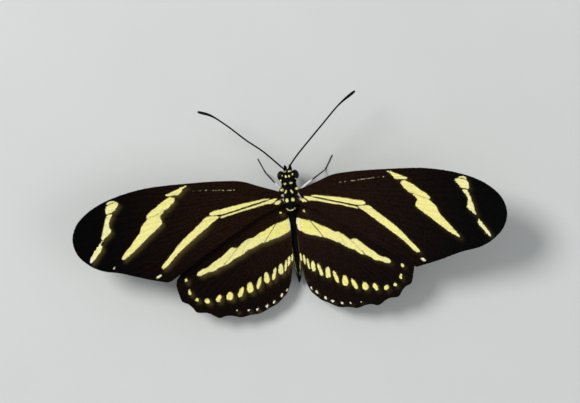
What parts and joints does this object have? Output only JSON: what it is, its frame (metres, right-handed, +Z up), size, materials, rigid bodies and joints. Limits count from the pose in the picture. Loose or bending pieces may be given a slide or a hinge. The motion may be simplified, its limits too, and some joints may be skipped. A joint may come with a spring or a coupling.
{
  "type": "zebra longwing butterfly",
  "caption": "Still, life-size zebra longwing butterfly standing with its long black, pale-yellow-banded wings spread flat.",
  "frame": {"origin": "middle of the butterfly's bounding box, on the floor under its feet", "axes": "+X to the animal's right along the wingspan, +Y towards the head end and the tips of the feelers, +Z up"},
  "size_m": [0.086, 0.0424, 0.0157],
  "materials": {
    "wing_scales": "matt black-brown scales with pale yellow bands and rows of spots",
    "body_scales": "black scales and short hair with pale yellow spots",
    "leg": "dark satin cuticle with fine scales, paler on the outer side of the femora",
    "feeler": "dark ringed cuticle, satin",
    "tongue": "dark brown satin cuticle",
    "eye": "glossy dark red-brown, finely faceted"
  },
  "bodies": {
    "root": {"head": "body_scales", "thorax": "body_scales", "abdomen": "body_scales", "proboscis": "tongue", "eye_left": "eye", "antenna_left": "feeler", "palp_left": "body_scales", "forewing_left": "wing_scales", "hindwing_left": "wing_scales", "foreleg_left": "leg", "midleg_left": "leg", "hindleg_left": "leg", "eye_right": "eye", "antenna_right": "feeler", "palp_right": "body_scales", "forewing_right": "wing_scales", "hindwing_right": "wing_scales", "foreleg_right": "leg", "midleg_right": "leg", "hindleg_right": "leg"}
  },
  "joints": []
}
